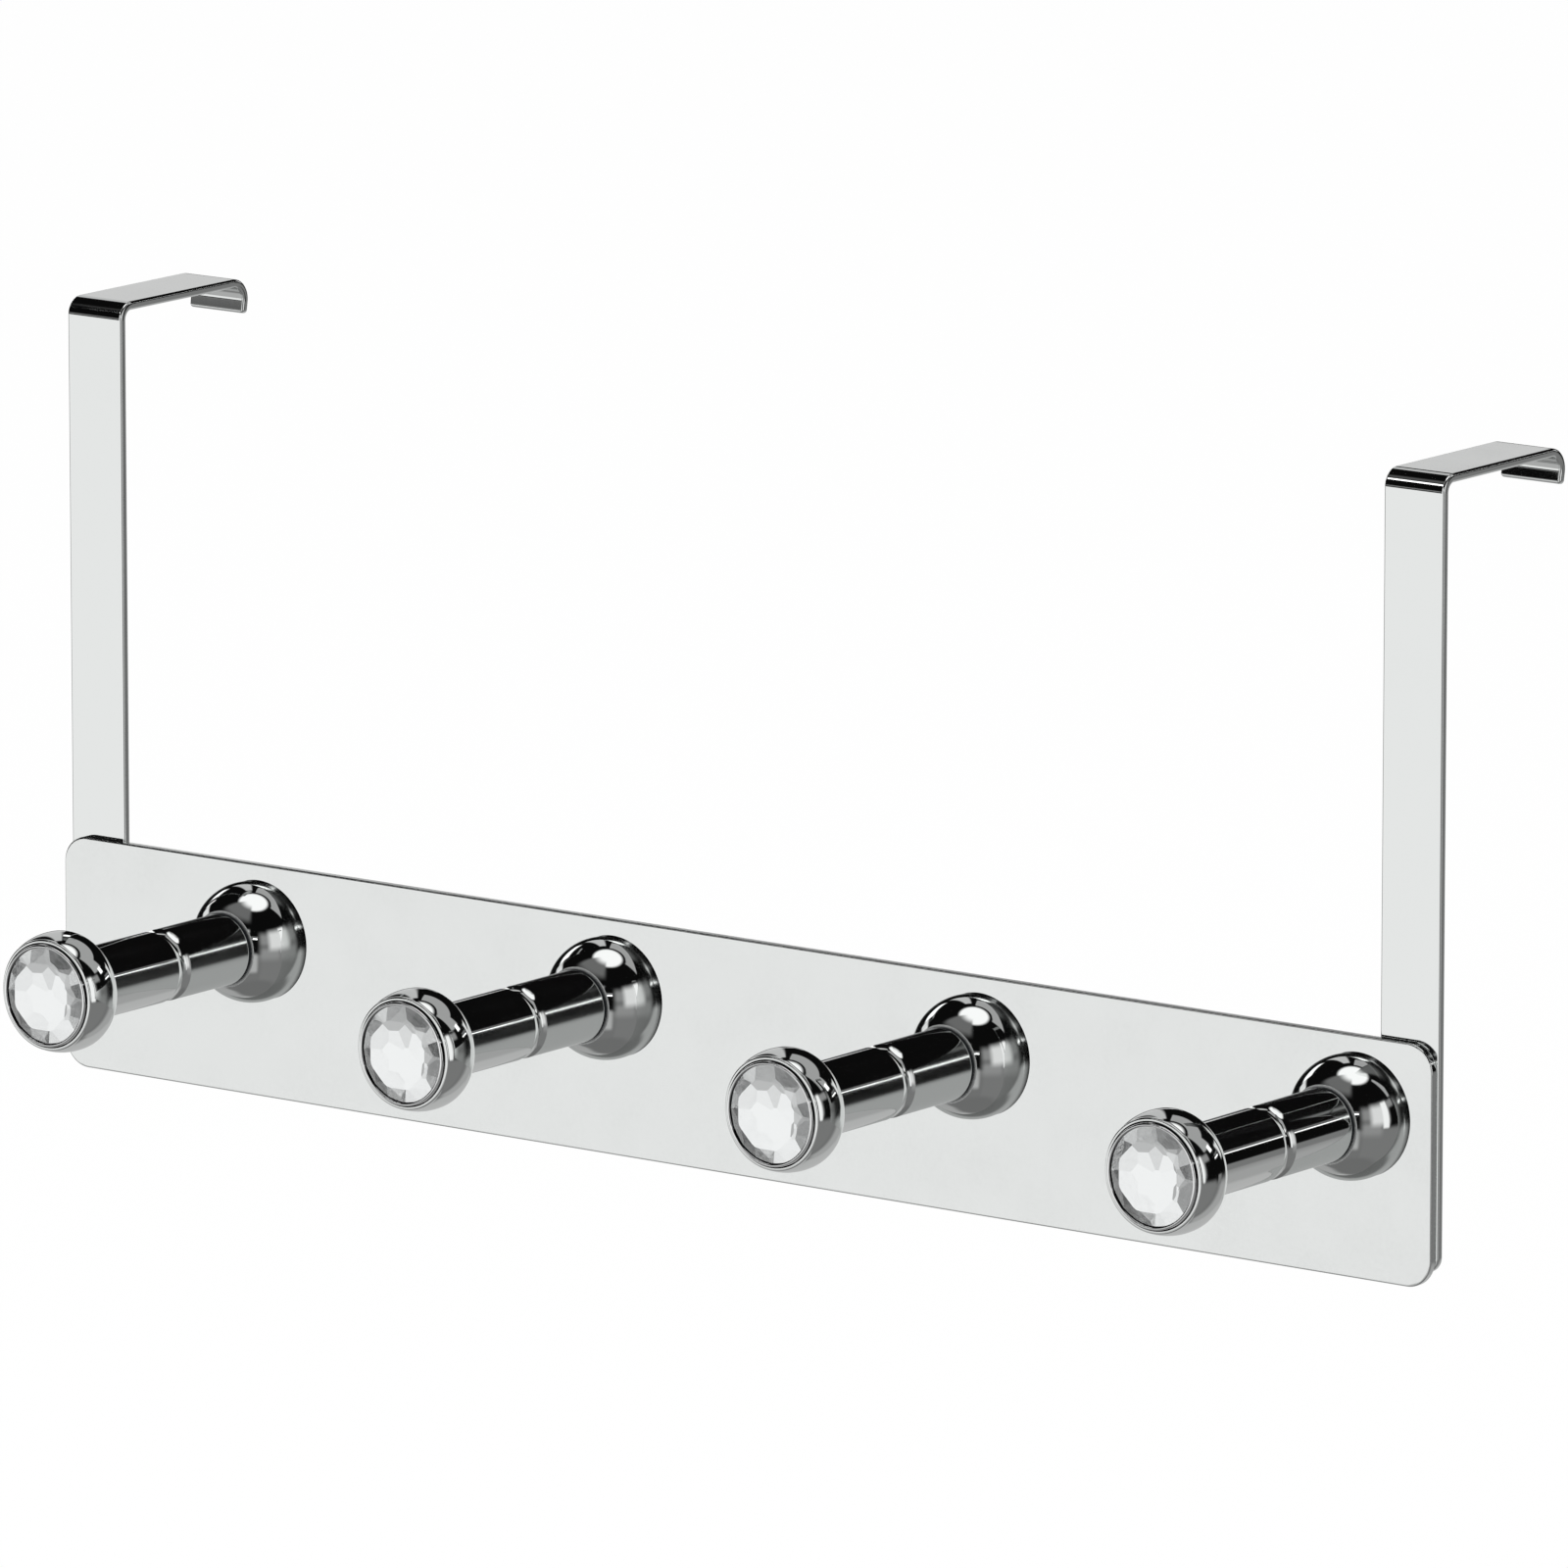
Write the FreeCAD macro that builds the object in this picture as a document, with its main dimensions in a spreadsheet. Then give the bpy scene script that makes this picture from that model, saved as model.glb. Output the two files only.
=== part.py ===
import FreeCAD, Part
import math
import os
import Sketcher

# Over door hook rack: a long chromed plate hangs from two bent straps and carries four turned pegs.
# The origin is the middle of the left strap's seat on the door's top edge.
# X runs along the plate, Y runs back over the door, Z is up. Pegs point along -Y.

doc = FreeCAD.newDocument("over_door_hook")

# Driving dimensions, millimetres. Peg sizes are radii, and distances ahead of the plate's front face.
DIMENSIONS = {
    "plate_length": 364.0,
    "plate_height": 51.5,
    "plate_thickness": 2.0,
    "plate_corner": 6.0,
    "plate_edge_round": 0.4,
    "screw_clearance": 2.2,
    "strap_width": 15.0,
    "strap_thickness": 1.9,
    "strap_offset": 0.5,
    "strap_edge_round": 0.3,
    "door_gap": 40.5,
    "seat_height": 168.6,
    "strap_foot": 3.0,
    "foot_corner": 3.5,
    "front_bend": 2.0,
    "rear_bend": 3.0,
    "lip_drop": 6.2,
    "weld_radius": 2.4,
    "weld_depth": 0.3,
    "weld_pitch": 14.0,
    "weld_first": 9.0,
    "peg_height": 34.8,
    "first_peg": 54.5,
    "peg_pitch": 97.0,
    "rosette_radius": 13.2,
    "rosette_rim": 1.6,
    "rosette_front": 12.2,
    "rosette_nose": 8.4,
    "rosette_curve": 11.6,
    "rosette_wall": 1.0,
    "rosette_nose_inset": 0.6,
    "neck_radius": 7.0,
    "neck_length": 0.9,
    "stem_radius": 7.85,
    "stem_edge": 0.35,
    "groove_start": 33.0,
    "groove_width": 4.0,
    "groove_depth": 0.8,
    "cap_radius": 13.05,
    "cap_widest": 66.4,
    "cap_front": 72.5,
    "cap_front_radius": 11.75,
    "cap_crown_curve": 13.0,
    "cup_radius": 11.1,
    "cup_mouth": 0.35,
    "cup_wall": 0.75,
    "cup_rim": 73.3,
    "cup_depth": 5.5,
    "cup_floor": 0.7,
    "crystal_girdle": 0.7,
    "crystal_seat": 71.7,
    "crystal_table": 74.3,
    "crystal_table_radius": 7.8,
    "crystal_crown_rise": 0.25,
    "crystal_rim_inset": 1.45,
    "crystal_rim_rise": 0.95,
    "crystal_culet": 3.2,
    "bore_radius": 2.0,
    "bore_depth": 11.0,
    "screw_reach": 21.5,
    "screw_tip": 0.5,
    "screw_head_radius": 3.5,
    "screw_head_height": 1.7,
    "screw_head_edge": 0.6,
    "screw_head_flat": 1.9,
    "screw_head_curve": 2.6,
    "screw_slot_width": 1.1,
    "screw_slot_length": 4.2,
    "screw_slot_depth": 1.0,
}
PEG_COUNT = 4
WELD_COUNT = 3
MAIN_FACETS = 8
RIM_FACETS = 16
# How far a facet's cutter reaches past the crystal, the size under which two lengths are equal, and
# the least part of its own volume that a cut has to take away to count as made.
CUTTER_REACH = 6.0
CUTTER_WIDTH = 60.0
TINY = 1e-6
LEAST_CUT = 0.0004

sheet = doc.addObject("Spreadsheet::Sheet", "dims")
for row, (alias, number) in enumerate(DIMENSIONS.items(), start=1):
    sheet.set("A%d" % row, alias)
    sheet.set("B%d" % row, str(number))
    sheet.setAlias("B%d" % row, alias)
doc.recompute()


def number(expression):
    """The present value of an expression over the sheet's cells."""
    return float(sheet.evalExpression(expression))


def origin_plane(body, role):
    for feature in body.Origin.OriginFeatures:
        if feature.Role == role:
            return feature
    raise ValueError(role)


def new_body(label):
    body = doc.addObject("PartDesign::Body", label)
    body.Label = label
    return body


def new_sketch(body, name, role):
    sketch = body.newObject("Sketcher::SketchObject", name)
    sketch.AttachmentSupport = (origin_plane(body, role), [""])
    sketch.MapMode = "FlatFace"
    return sketch


def pin(sketch, piece, point, across, along):
    """Hold one point of a sketch at two expressions."""
    for kind, axis, expression in (("DistanceX", -2, across), ("DistanceY", -1, along)):
        if expression == "0":
            sketch.addConstraint(Sketcher.Constraint("PointOnObject", piece, point, axis))
        else:
            rule = Sketcher.Constraint(kind, piece, point, number(expression))
            index = sketch.addConstraint(rule)
            sketch.setExpression("Constraints[%d]" % index, expression)


def arc_between(start, end, radius):
    """The short arc of a radius between two points: it bulges to the right of the way for radius > 0."""
    chord = end - start
    middle = (start + end) * 0.5
    left = FreeCAD.Vector(-chord.y, chord.x, 0).normalize()
    rise = math.sqrt(radius * radius - chord.Length ** 2 / 4)
    side = 1 if radius > 0 else -1
    centre = middle + left * rise * side
    crown = centre + (middle - centre).normalize() * abs(radius)
    return Part.Arc(start, crown, end)


def draw_outline(sketch, corners, rounds=None):
    """A closed outline through corners, each a pair of expressions. rounds gives the radius expression
    of each stretch that is an arc, by the number of the corner where it starts."""
    rounds = rounds or {}
    points = [FreeCAD.Vector(number(across), number(along), 0) for across, along in corners]
    first = sketch.GeometryCount
    for index, start in enumerate(points):
        end = points[(index + 1) % len(points)]
        if index in rounds:
            arc = arc_between(start, end, number(rounds[index]))
            sketch.addGeometry(arc)
        else:
            sketch.addGeometry(Part.LineSegment(start, end))
    # An arc always runs anticlockwise, so its own start may be the outline's end.
    ends = []
    for index, start in enumerate(points):
        piece = first + index
        swapped = (sketch.getPoint(piece, 1) - start).Length > TINY
        ends.append((2, 1) if swapped else (1, 2))
    for index, (across, along) in enumerate(corners):
        piece = first + index
        before = (index - 1) % len(corners)
        joint = Sketcher.Constraint("Coincident", first + before, ends[before][1], piece, ends[index][0])
        sketch.addConstraint(joint)
        pin(sketch, piece, ends[index][0], across, along)
    for index, expression in rounds.items():
        rule = Sketcher.Constraint("Radius", first + index, abs(number(expression)))
        place = sketch.addConstraint(rule)
        sketch.setExpression("Constraints[%d]" % place, "abs(%s)" % expression)


def draw_circle(sketch, across, along, radius):
    centre = FreeCAD.Vector(number(across), number(along), 0)
    piece = sketch.addGeometry(Part.Circle(centre, FreeCAD.Vector(0, 0, 1), number(radius)))
    pin(sketch, piece, 3, across, along)
    place = sketch.addConstraint(Sketcher.Constraint("Radius", piece, number(radius)))
    sketch.setExpression("Constraints[%d]" % place, radius)


def turn(body, name, corners, rounds=None):
    """A lathe-turned solid about the body's Y axis, from its half section: (radius, place along Y)."""
    sketch = new_sketch(body, name + "_section", "XY_Plane")
    draw_outline(sketch, corners, rounds)
    solid = body.newObject("PartDesign::Revolution", name)
    solid.Profile = sketch
    solid.ReferenceAxis = (sketch, ["V_Axis"])
    solid.Angle = 360
    doc.recompute()
    return solid


def edges_where(feature, test):
    """Names of a feature's edges that pass a test."""
    return ["Edge%d" % (index + 1) for index, edge in enumerate(feature.Shape.Edges) if test(edge)]


def round_edges(body, name, feature, edge_names, radius):
    fillet = body.newObject("PartDesign::Fillet", name)
    fillet.Base = (feature, edge_names)
    fillet.setExpression("Radius", radius)
    doc.recompute()
    return fillet


def place(body, x, y, z):
    body.setExpression("Placement.Base.x", x)
    body.setExpression("Placement.Base.y", y)
    body.setExpression("Placement.Base.z", z)


PLATE_LEFT = "-(dims.strap_offset + dims.strap_width / 2)"
PLATE_BOTTOM = "-dims.seat_height"
PLATE_BACK = "-(dims.door_gap / 2 + dims.strap_thickness)"
PLATE_FRONT = PLATE_BACK + " - dims.plate_thickness"
PEG_LEVEL = PLATE_BOTTOM + " + dims.peg_height"
made = []


# The plate: one sheet with rounded corners and a clearance hole behind each peg.
plate = new_body("plate")
plate_sketch = new_sketch(plate, "plate_outline", "XZ_Plane")
draw_outline(
    plate_sketch,
    [
        ("dims.plate_corner", "0"),
        ("dims.plate_length - dims.plate_corner", "0"),
        ("dims.plate_length", "dims.plate_corner"),
        ("dims.plate_length", "dims.plate_height - dims.plate_corner"),
        ("dims.plate_length - dims.plate_corner", "dims.plate_height"),
        ("dims.plate_corner", "dims.plate_height"),
        ("0", "dims.plate_height - dims.plate_corner"),
        ("0", "dims.plate_corner"),
    ],
    {index: "dims.plate_corner" for index in (1, 3, 5, 7)},
)
for number_of_peg in range(PEG_COUNT):
    peg_across = "dims.first_peg + %d * dims.peg_pitch" % number_of_peg
    draw_circle(plate_sketch, peg_across, "dims.peg_height", "dims.screw_clearance")
plate_pad = plate.newObject("PartDesign::Pad", "plate_pad")
plate_pad.Profile = plate_sketch
plate_pad.setExpression("Length", "dims.plate_thickness")
plate_pad.Reversed = True
doc.recompute()
rim_edges = edges_where(plate_pad, lambda edge: edge.BoundBox.YLength < TINY and not edge.isClosed())
round_edges(plate, "plate_rim", plate_pad, rim_edges, "dims.plate_edge_round")
place(plate, PLATE_LEFT, PLATE_FRONT, PLATE_BOTTOM)
made.append(plate)


# The two straps: one strip each, bent over the door, spot-welded to the plate's back.
SEAT_FRONT = "-dims.door_gap / 2"
SEAT_BACK = "dims.door_gap / 2"
LEG_FRONT = SEAT_FRONT + " - dims.strap_thickness"
LIP_BACK = SEAT_BACK + " + dims.strap_thickness"
FOOT = "dims.strap_foot - dims.seat_height"
FRONT_OUTER = "dims.front_bend + dims.strap_thickness"
REAR_OUTER = "dims.rear_bend + dims.strap_thickness"


def build_strap(label, across):
    strap = new_body(label)
    side = new_sketch(strap, label + "_side", "YZ_Plane")
    draw_outline(
        side,
        [
            (LEG_FRONT, FOOT),
            (SEAT_FRONT, FOOT),
            (SEAT_FRONT, "-dims.front_bend"),
            (SEAT_FRONT + " + dims.front_bend", "0"),
            (SEAT_BACK + " - dims.rear_bend", "0"),
            (SEAT_BACK, "-dims.rear_bend"),
            (SEAT_BACK, "-dims.lip_drop"),
            (LIP_BACK, "-dims.lip_drop"),
            (LIP_BACK, "-dims.rear_bend"),
            (SEAT_BACK + " - dims.rear_bend", "dims.strap_thickness"),
            (SEAT_FRONT + " + dims.front_bend", "dims.strap_thickness"),
            (LEG_FRONT, "-dims.front_bend"),
        ],
        {2: "-dims.front_bend", 4: "-dims.rear_bend", 8: REAR_OUTER, 10: FRONT_OUTER},
    )
    strip = strap.newObject("PartDesign::Pad", label + "_strip")
    strip.Profile = side
    strip.setExpression("Length", "dims.strap_width")
    strip.Midplane = True
    doc.recompute()
    foot_level = number(FOOT)
    corners = edges_where(
        strip,
        lambda edge: edge.BoundBox.XLength < TINY
        and edge.BoundBox.ZLength < TINY
        and abs(edge.BoundBox.ZMin - foot_level) < TINY,
    )
    foot = round_edges(strap, label + "_foot", strip, corners, "dims.foot_corner")
    half_width = number("dims.strap_width / 2")
    thickness = number("dims.strap_thickness")
    sides = edges_where(
        foot,
        lambda edge: edge.BoundBox.XLength < TINY
        and abs(abs(edge.BoundBox.XMax) - half_width) < TINY
        and edge.Length > thickness + TINY,
    )
    rounded = round_edges(strap, label + "_edges", foot, sides, "dims.strap_edge_round")
    dents = new_sketch(strap, label + "_welds", "XZ_Plane")
    dents.setExpression("AttachmentOffset.Base.z", "dims.door_gap / 2")
    for index in range(WELD_COUNT):
        level = FOOT + " + dims.weld_first + %d * dims.weld_pitch" % index
        draw_circle(dents, "0", level, "dims.weld_radius")
    pocket = strap.newObject("PartDesign::Pocket", label + "_weld_marks")
    pocket.Profile = dents
    pocket.setExpression("Length", "dims.weld_depth")
    pocket.Reversed = True
    doc.recompute()
    if pocket.Shape.Volume > rounded.Shape.Volume * (1 - LEAST_CUT):
        raise ValueError("%s has no weld marks" % label)
    place(strap, across, "0", "0")
    made.append(strap)


build_strap("left_strap", "0")
build_strap("right_strap", "dims.plate_length - dims.strap_width")


# A rosette: a bell pressed from thin sheet that stands on the plate and holds the peg's neck off it.
def build_rosette(label):
    rosette = new_body(label)
    inner = "dims.rosette_radius - dims.rosette_wall"
    turn(
        rosette,
        label + "_bell",
        [
            (inner, "0"),
            ("dims.rosette_radius", "0"),
            ("dims.rosette_radius", "-dims.rosette_rim"),
            ("dims.rosette_nose", "-dims.rosette_front"),
            ("dims.screw_clearance", "-dims.rosette_front"),
            ("dims.screw_clearance", "dims.rosette_wall - dims.rosette_front"),
            ("dims.rosette_nose - dims.rosette_nose_inset", "dims.rosette_wall - dims.rosette_front"),
            (inner, "-dims.rosette_rim"),
        ],
        {2: "-dims.rosette_curve", 6: "dims.rosette_curve - dims.rosette_wall"},
    )
    return rosette


# A peg: one turned and chromed bar with a neck, a groove round its middle and a wide cap.
def build_peg(label):
    peg = new_body(label)
    neck_end = "dims.rosette_front + dims.neck_length"
    groove_end = "dims.groove_start + dims.groove_width"
    cap_foot = "dims.cap_widest - (dims.cap_radius - dims.stem_radius)"
    cup_seat = "dims.cup_rim - dims.cup_depth"
    groove_curve = "(dims.groove_width ^ 2 / 4 + dims.groove_depth ^ 2) / (2 * dims.groove_depth)"
    turn(
        peg,
        label + "_bar",
        [
            ("dims.bore_radius", "-dims.rosette_front"),
            ("dims.neck_radius", "-dims.rosette_front"),
            ("dims.neck_radius", "-(%s)" % neck_end),
            ("dims.stem_radius - dims.stem_edge", "-(%s)" % neck_end),
            ("dims.stem_radius", "-(%s + dims.stem_edge)" % neck_end),
            ("dims.stem_radius", "-dims.groove_start"),
            ("dims.stem_radius", "-(%s)" % groove_end),
            ("dims.stem_radius", "-(%s)" % cap_foot),
            ("dims.cap_radius", "-dims.cap_widest"),
            ("dims.cap_front_radius + dims.stem_edge", "-(dims.cap_front - dims.stem_edge)"),
            ("dims.cap_front_radius", "-dims.cap_front"),
            ("dims.cup_radius + dims.cup_mouth", "-dims.cap_front"),
            ("dims.cup_radius", "-(dims.cap_front - dims.cup_mouth)"),
            ("dims.cup_radius", "-(%s)" % cup_seat),
            ("0", "-(%s)" % cup_seat),
            ("0", "-(dims.rosette_front + dims.bore_depth)"),
            ("dims.bore_radius", "-(dims.rosette_front + dims.bore_depth)"),
        ],
        {
            3: "-dims.stem_edge",
            5: groove_curve,
            7: "-(dims.cap_radius - dims.stem_radius)",
            8: "-dims.cap_crown_curve",
            9: "-dims.stem_edge",
        },
    )
    return peg


# A bezel cup: a thin pressed cup let into the cap, whose rim shows as a bright ring.
def build_cup(label):
    cup = new_body(label)
    bottom = "dims.cup_rim - dims.cup_depth"
    inner = "dims.cup_radius - dims.cup_wall"
    middle = "dims.cup_radius - dims.cup_wall / 2"
    turn(
        cup,
        label + "_shell",
        [
            ("0", "-(%s)" % bottom),
            ("dims.cup_radius", "-(%s)" % bottom),
            ("dims.cup_radius", "-(dims.cup_rim - dims.cup_wall / 2)"),
            (middle, "-dims.cup_rim"),
            (inner, "-(dims.cup_rim - dims.cup_wall / 2)"),
            (inner, "-(%s + dims.cup_floor)" % bottom),
            ("0", "-(%s + dims.cup_floor)" % bottom),
        ],
        {2: "-dims.cup_wall / 2", 3: "-dims.cup_wall / 2"},
    )
    return cup


def grind(body, name, inner_radius, inner_level, outer_radius, outer_level, count, half_step):
    """A ring of flat facets. Each facet passes through two points of the crystal's half section, and
    everything outside it is ground away."""
    start = FreeCAD.Vector(number(inner_radius), number(inner_level), 0)
    end = FreeCAD.Vector(number(outer_radius), number(outer_level), 0)
    way = (end - start).normalize()
    out = FreeCAD.Vector(-way.y, way.x, 0)
    if out.x < 0:
        out = out * -1
    near = start - way * CUTTER_REACH
    far = end + way * CUTTER_REACH
    tool = new_sketch(body, name + "_section", "XY_Plane")
    if half_step:
        tool.AttachmentOffset = FreeCAD.Placement(
            FreeCAD.Vector(0, 0, 0), FreeCAD.Rotation(FreeCAD.Vector(0, 1, 0), 180.0 / count)
        )
    points = [near, far, far + out * CUTTER_REACH, near + out * CUTTER_REACH]
    for index, point in enumerate(points):
        tool.addGeometry(Part.LineSegment(point, points[(index + 1) % 4]))
    for index in range(4):
        tool.addConstraint(Sketcher.Constraint("Coincident", index, 2, (index + 1) % 4, 1))
        tool.addConstraint(Sketcher.Constraint("Block", index))
    before = body.Tip.Shape.Volume
    facet = body.newObject("PartDesign::Pocket", name)
    facet.Profile = tool
    facet.Type = "Length"
    facet.Length = CUTTER_WIDTH
    facet.Midplane = True
    doc.recompute()
    ring = body.newObject("PartDesign::PolarPattern", name + "_ring")
    ring.Originals = [facet]
    ring.Axis = (tool, ["V_Axis"])
    ring.Angle = 360
    ring.Occurrences = count
    body.Tip = ring
    doc.recompute()
    if ring.Shape.Volume > before * (1 - LEAST_CUT):
        raise ValueError("%s grinds nothing away" % name)


# A crystal: clear stone with an octagonal table, eight wide facets, sixteen small ones at the rim
# and eight behind, set in the bezel cup.
def build_crystal(label):
    crystal = new_body(label)
    girdle = "(dims.cup_radius - dims.cup_wall)"
    floor = "(dims.cup_rim - dims.cup_depth + dims.cup_floor)"
    crown_foot = "(dims.crystal_seat + dims.crystal_girdle)"
    turn(
        crystal,
        label + "_blank",
        [
            ("0", "-%s" % floor),
            (girdle, "-%s" % floor),
            (girdle, "-dims.crystal_table"),
            ("0", "-dims.crystal_table"),
        ],
    )
    flat = math.cos(math.pi / MAIN_FACETS)
    table_flat = "dims.crystal_table_radius * %.6f" % flat
    grind(
        crystal, label + "_crown", table_flat, "-dims.crystal_table",
        girdle, "-(%s + dims.crystal_crown_rise)" % crown_foot, MAIN_FACETS, False,
    )
    rim_inner = "%s - dims.crystal_rim_inset" % girdle
    grind(
        crystal, label + "_rim", rim_inner, "-(%s + dims.crystal_rim_rise)" % crown_foot,
        girdle, "-%s" % crown_foot, RIM_FACETS, True,
    )
    grind(
        crystal, label + "_pavilion", "dims.crystal_culet", "-%s" % floor,
        girdle, "-dims.crystal_seat", MAIN_FACETS, True,
    )
    return crystal


# A peg screw: a low round head with a cross slot behind the plate, and a shank up into the peg.
def build_screw(label):
    screw = new_body(label)
    thickness = "dims.plate_thickness"
    back = "(dims.plate_thickness + dims.screw_head_height)"
    turn(
        screw,
        label + "_blank",
        [
            ("0", "-dims.screw_reach"),
            ("dims.bore_radius - dims.screw_tip", "-dims.screw_reach"),
            ("dims.bore_radius", "-(dims.screw_reach - dims.screw_tip)"),
            ("dims.bore_radius", thickness),
            ("dims.screw_head_radius", thickness),
            ("dims.screw_head_radius", thickness + " + dims.screw_head_edge"),
            ("dims.screw_head_flat", back),
            ("0", back),
        ],
        {5: "dims.screw_head_curve"},
    )
    cross = new_sketch(screw, label + "_cross", "XZ_Plane")
    cross.setExpression("AttachmentOffset.Base.z", "-" + back)
    half_long = "dims.screw_slot_length / 2"
    half_wide = "dims.screw_slot_width / 2"
    draw_outline(
        cross,
        [
            (half_long, "-" + half_wide),
            (half_long, half_wide),
            (half_wide, half_wide),
            (half_wide, half_long),
            ("-" + half_wide, half_long),
            ("-" + half_wide, half_wide),
            ("-" + half_long, half_wide),
            ("-" + half_long, "-" + half_wide),
            ("-" + half_wide, "-" + half_wide),
            ("-" + half_wide, "-" + half_long),
            (half_wide, "-" + half_long),
            (half_wide, "-" + half_wide),
        ],
    )
    before = screw.Tip.Shape.Volume
    pocket = screw.newObject("PartDesign::Pocket", label + "_recess")
    pocket.Profile = cross
    pocket.setExpression("Length", "dims.screw_slot_depth")
    pocket.Reversed = True
    doc.recompute()
    if pocket.Shape.Volume > before * (1 - LEAST_CUT):
        raise ValueError("%s has no cross slot" % label)
    return screw


screws = []
for index in range(PEG_COUNT):
    peg_x = PLATE_LEFT + " + dims.first_peg + %d * dims.peg_pitch" % index
    for kind, build in (
        ("rosette", build_rosette),
        ("peg", build_peg),
        ("bezel_cup", build_cup),
        ("crystal", build_crystal),
        ("screw", build_screw),
    ):
        piece = build("%s_%d" % (kind, index + 1))
        place(piece, peg_x, PLATE_FRONT, PEG_LEVEL)
        if kind == "screw":
            screws.append(piece)
        else:
            made.append(piece)

# The four identical screws are one node of separate solids.
peg_screws = doc.addObject("Part::Compound", "peg_screws")
peg_screws.Label = "peg_screws"
peg_screws.Links = screws
made.append(peg_screws)

doc.recompute()
for thing in doc.Objects:
    if "Invalid" in thing.State or "Error" in thing.State:
        raise ValueError("%s: %s" % (thing.Label, thing.State))
for thing in made:
    if thing.Shape.isNull() or not thing.Shape.isValid():
        raise ValueError("%s has no valid shape" % thing.Label)

os.makedirs("parts", exist_ok=True)
for thing in made:
    thing.Shape.exportStep(os.path.join("parts", thing.Label + ".step"))
    box = thing.Shape.BoundBox
    print(
        "%-14s solids %d volume %9.1f box %7.2f %7.2f %8.2f to %7.2f %7.2f %8.2f"
        % (thing.Label, len(thing.Shape.Solids), thing.Shape.Volume,
           box.XMin, box.YMin, box.ZMin, box.XMax, box.YMax, box.ZMax)
    )
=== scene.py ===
import math

import bmesh
import bpy
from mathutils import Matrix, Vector


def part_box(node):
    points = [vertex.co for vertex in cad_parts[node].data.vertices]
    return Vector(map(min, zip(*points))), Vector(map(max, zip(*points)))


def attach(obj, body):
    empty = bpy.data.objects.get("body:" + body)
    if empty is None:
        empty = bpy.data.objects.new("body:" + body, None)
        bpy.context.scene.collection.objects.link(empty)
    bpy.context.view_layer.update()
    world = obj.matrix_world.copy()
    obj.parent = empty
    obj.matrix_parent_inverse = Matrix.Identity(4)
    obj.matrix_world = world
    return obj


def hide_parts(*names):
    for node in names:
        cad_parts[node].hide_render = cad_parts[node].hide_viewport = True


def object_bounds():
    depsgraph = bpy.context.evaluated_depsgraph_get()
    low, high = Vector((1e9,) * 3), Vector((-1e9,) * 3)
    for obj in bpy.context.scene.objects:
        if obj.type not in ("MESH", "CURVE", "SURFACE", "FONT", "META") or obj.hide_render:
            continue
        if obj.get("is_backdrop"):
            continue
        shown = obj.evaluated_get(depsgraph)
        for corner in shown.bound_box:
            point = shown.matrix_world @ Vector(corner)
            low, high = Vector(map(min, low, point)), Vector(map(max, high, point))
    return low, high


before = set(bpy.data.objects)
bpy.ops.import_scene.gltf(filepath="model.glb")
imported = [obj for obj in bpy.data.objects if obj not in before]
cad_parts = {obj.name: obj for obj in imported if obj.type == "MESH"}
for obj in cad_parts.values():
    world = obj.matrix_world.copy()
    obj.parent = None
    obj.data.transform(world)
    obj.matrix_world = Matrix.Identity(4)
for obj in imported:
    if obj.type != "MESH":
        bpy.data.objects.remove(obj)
cad_low, cad_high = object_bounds()


# The plate is one length of steel sheet, cut with rounded corners and punched with a hole behind each
# peg. Its cut edge is tumbled round, and it is polished satin and chromed. It carries all the rest.
MM = 0.001
PEG_NUMBERS = (1, 2, 3, 4)
plate_low, plate_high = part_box("plate")
PLATE_CORNER = 6.0 * MM
PLATE_EDGE = 0.4 * MM
SCREW_CLEARANCE = 2.2 * MM
CORNER_STEPS = 16
EDGE_STEPS = 6
HOLE_STEPS = 48
SHARP_ANGLE = math.radians(32)

peg_places = []
for number in PEG_NUMBERS:
    low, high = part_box(f"peg_{number}")
    peg_places.append(Vector(((low.x + high.x) / 2, plate_low.y, (low.z + high.z) / 2)))


def circle(centre_x, centre_y, radius, steps=HOLE_STEPS):
    turns = [2 * math.pi * step / steps for step in range(steps)]
    return [(centre_x + radius * math.cos(turn), centre_y + radius * math.sin(turn)) for turn in turns]


def rounded_rectangle(width, height, corners, inset):
    """Points round a rectangle, its four corner radii given from the lower left, all moved in by inset."""
    centres = (
        (corners[0], corners[0]),
        (width - corners[1], corners[1]),
        (width - corners[2], height - corners[2]),
        (corners[3], height - corners[3]),
    )
    points = []
    for index, (centre, radius) in enumerate(zip(centres, corners)):
        for step in range(CORNER_STEPS + 1):
            turn = math.pi / 2 * (index + 2 + step / CORNER_STEPS)
            points.append((
                centre[0] + (radius - inset) * math.cos(turn),
                centre[1] + (radius - inset) * math.sin(turn),
            ))
    return points


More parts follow.
